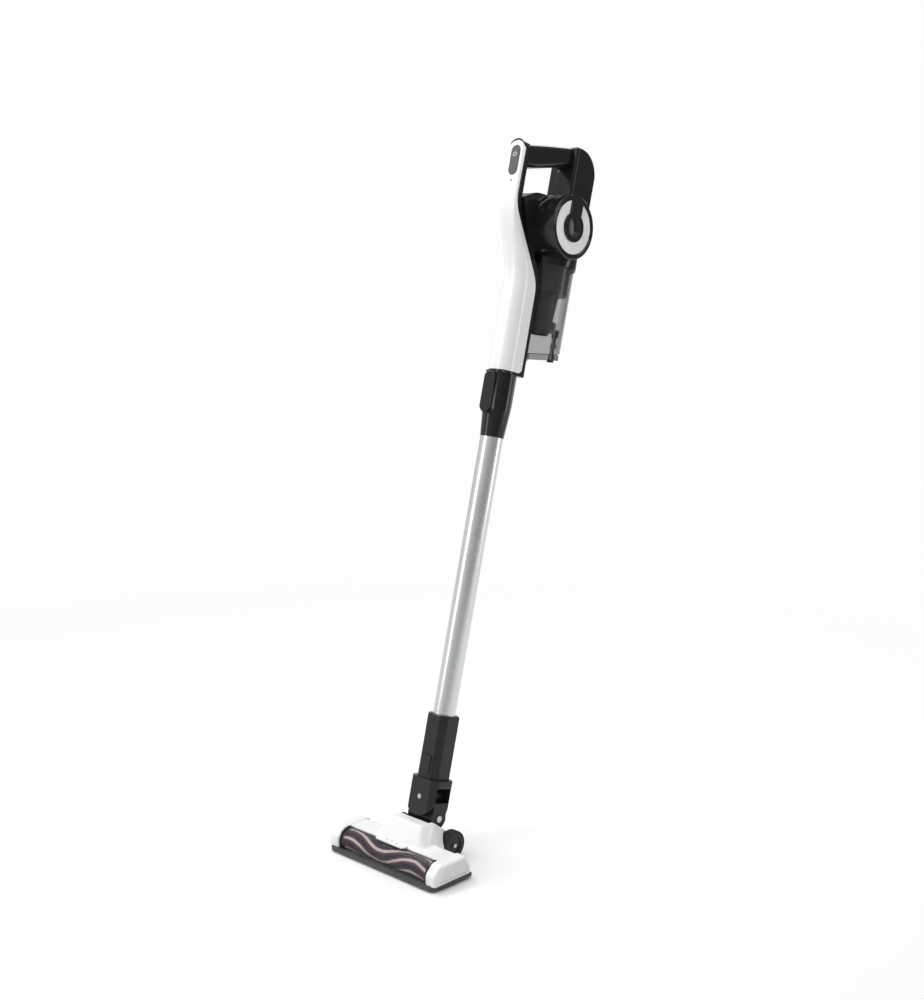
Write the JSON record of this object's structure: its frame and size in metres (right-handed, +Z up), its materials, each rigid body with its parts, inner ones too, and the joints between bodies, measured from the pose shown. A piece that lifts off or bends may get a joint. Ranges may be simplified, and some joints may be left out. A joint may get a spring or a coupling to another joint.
{
  "type": "cordless stick vacuum",
  "caption": "Cordless stick vacuum: roller head with swivel neck, aluminium wand, and handheld unit with motor drum, smoky dust bin and loop handle.",
  "frame": {"origin": "centre of the felt strip under the head, where the leaning wand's axis meets the floor", "axes": "+X along the head's long side, to the user's right seen from the front; -Y the head's front edge, so that the wand leans back towards +Y; +Z up from the floor"},
  "size_m": [0.2312, 0.4685, 1.0945],
  "materials": {
    "white_gloss": "gloss white",
    "panel_grey": "light grey satin",
    "black_gloss": "gloss black",
    "black_satin": "satin black",
    "button_grey": "dark grey matt",
    "silver": "silver paint",
    "aluminium": "satin anodised",
    "smoke_clear": "smoky clear",
    "cyclone_dark": "dark",
    "filter_white": "pleated paper",
    "rubber": "matt",
    "dark_grey": "dark grey",
    "felt": "felt",
    "bristle": "navy, maroon and grey pile",
    "core_plastic": "dark",
    "steel": "bright",
    "motor_metal": "plated",
    "fan_plastic": "black",
    "board_green": "circuit board",
    "cell_blue": "wrapped cells"
  },
  "bodies": {
    "handheld": {"spine_cover": "white_gloss", "spine_shell": "black_gloss", "inlet_pipe": "black_satin", "button_spring": "steel", "control_board": "board_green", "indicator_lens": "black_gloss", "grip_bar": "black_gloss", "battery_leg": "black_gloss", "housing_screws": "steel", "battery_cells": "cell_blue", "charge_socket": "black_satin", "motor_housing": "black_gloss", "drum_cap_right": "black_gloss", "trim_ring": "silver", "hub_cap": "black_gloss", "drum_cap_left": "black_gloss", "exhaust_filter": "filter_white", "motor_can": "motor_metal"},
    "power_button": {"power_button": "button_grey"},
    "fan": {"motor_fan": "fan_plastic"},
    "bin_button": {"bin_release_button": "black_satin"},
    "dust_bin": {"bin_shell": "smoke_clear", "cyclone_shroud": "cyclone_dark", "bin_seals": "rubber", "bin_pins": "steel"},
    "bin_filter": {"filter_cartridge": "filter_white"},
    "bin_lid": {"bin_lid": "smoke_clear"},
    "lid_latch": {"lid_latch": "black_satin"},
    "wand": {"wand_tube": "aluminium", "wand_connector": "black_gloss", "lower_coupling": "black_satin", "contact_pins": "steel"},
    "wand_button": {"wand_release_button": "black_satin"},
    "head_button": {"head_release_button": "black_satin"},
    "collar": {"swivel_collar": "black_satin"},
    "elbow": {"elbow_fork": "black_satin", "neck_pins": "steel", "flex_hose": "rubber"},
    "head": {"head_cover": "white_gloss", "headlight_lenses": "smoke_clear", "end_cap_left": "white_gloss", "end_cap_right": "white_gloss", "cap_panels": "panel_grey", "sole_plate": "dark_grey", "sole_felt": "felt", "window": "smoke_clear", "window_frame": "black_gloss", "roller_bearings": "steel", "brush_motor": "motor_metal", "drive_belt": "rubber", "neck_stub": "black_satin", "axles": "steel"},
    "brush": {"brush_core": "core_plastic", "brush_bristles": "bristle"},
    "brush_drive": {"motor_pulley": "steel"},
    "wheel_left": {"wheel_hub_left": "black_satin", "wheel_tyre_left": "rubber"},
    "wheel_right": {"wheel_hub_right": "black_satin", "wheel_tyre_right": "rubber"},
    "sole_rollers": {"sole_rollers": "rubber"}
  },
  "joints": [
    {"name": "power_press", "type": "slide", "parent": "handheld", "child": "power_button", "axis": [0, 0.969, -0.247], "range_m": [0, 0.0012], "stiffness_N_per_m": 1500, "deforming": ["button_spring"]},
    {"name": "fan_spin", "type": "hinge", "parent": "handheld", "child": "fan", "pos_m": [0, 0.28698, 0.95986], "axis": [1, 0, 0], "continuous": true},
    {"name": "bin_button_press", "type": "slide", "parent": "handheld", "child": "bin_button", "axis": [0, -0.969, 0.247], "range_m": [0, 0.0015], "stiffness_N_per_m": 1500},
    {"name": "bin_pull", "type": "slide", "parent": "handheld", "child": "dust_bin", "axis": [0, -0.247, -0.969], "range_m": [0, 0.2]},
    {"name": "filter_pull", "type": "slide", "parent": "handheld", "child": "bin_filter", "axis": [0, -0.247, -0.969], "range_m": [0, 0.05]},
    {"name": "lid_open", "type": "hinge", "parent": "dust_bin", "child": "bin_lid", "pos_m": [0, 0.22468, 0.75593], "axis": [-1, 0, 0], "range_deg": [0, 85]},
    {"name": "latch_press", "type": "hinge", "parent": "dust_bin", "child": "lid_latch", "pos_m": [0, 0.3094, 0.77251], "axis": [1, 0, 0], "range_deg": [0, 2.4], "stiffness_Nm_per_rad": 0.5},
    {"name": "wand_pull", "type": "slide", "parent": "handheld", "child": "wand", "axis": [0, -0.247, -0.969], "range_m": [0, 0.05]},
    {"name": "wand_button_press", "type": "slide", "parent": "wand", "child": "wand_button", "axis": [0, 0.969, -0.247], "range_m": [0, 0.0014], "stiffness_N_per_m": 2000},
    {"name": "head_button_press", "type": "slide", "parent": "wand", "child": "head_button", "axis": [0, 0.969, -0.247], "range_m": [0, 0.0007], "stiffness_N_per_m": 2000},
    {"name": "head_pull", "type": "slide", "parent": "wand", "child": "collar", "axis": [0, -0.247, -0.969], "range_m": [0, 0.03]},
    {"name": "neck_swing", "type": "hinge", "parent": "collar", "child": "elbow", "pos_m": [0, 0.02272, 0.08915], "axis": [0, 0.969, -0.247], "range_deg": [-25, 25]},
    {"name": "neck_pitch", "type": "hinge", "parent": "elbow", "child": "head", "pos_m": [0, 0.01531, 0.06008], "axis": [1, 0, 0], "range_deg": [-14.3, 60]},
    {"name": "brush_spin", "type": "hinge", "parent": "head", "child": "brush", "pos_m": [0, -0.062, 0.018], "axis": [1, 0, 0], "continuous": true},
    {"name": "brush_drive_spin", "type": "hinge", "parent": "head", "child": "brush_drive", "pos_m": [0, -0.026, 0.021], "axis": [1, 0, 0], "continuous": true},
    {"name": "wheel_left_roll", "type": "hinge", "parent": "head", "child": "wheel_left", "pos_m": [-0.0455, 0.023, 0.0225], "axis": [1, 0, 0], "continuous": true},
    {"name": "wheel_right_roll", "type": "hinge", "parent": "head", "child": "wheel_right", "pos_m": [0.0455, 0.023, 0.0225], "axis": [1, 0, 0], "continuous": true},
    {"name": "sole_rollers_roll", "type": "hinge", "parent": "head", "child": "sole_rollers", "pos_m": [0, -0.021, 0.006], "axis": [1, 0, 0], "continuous": true}
  ],
  "couplings": [
    {"joint": "filter_pull", "follows": "bin_pull", "ratio": 0.25},
    {"joint": "brush_drive_spin", "follows": "brush_spin", "ratio": 1.4444}
  ]
}
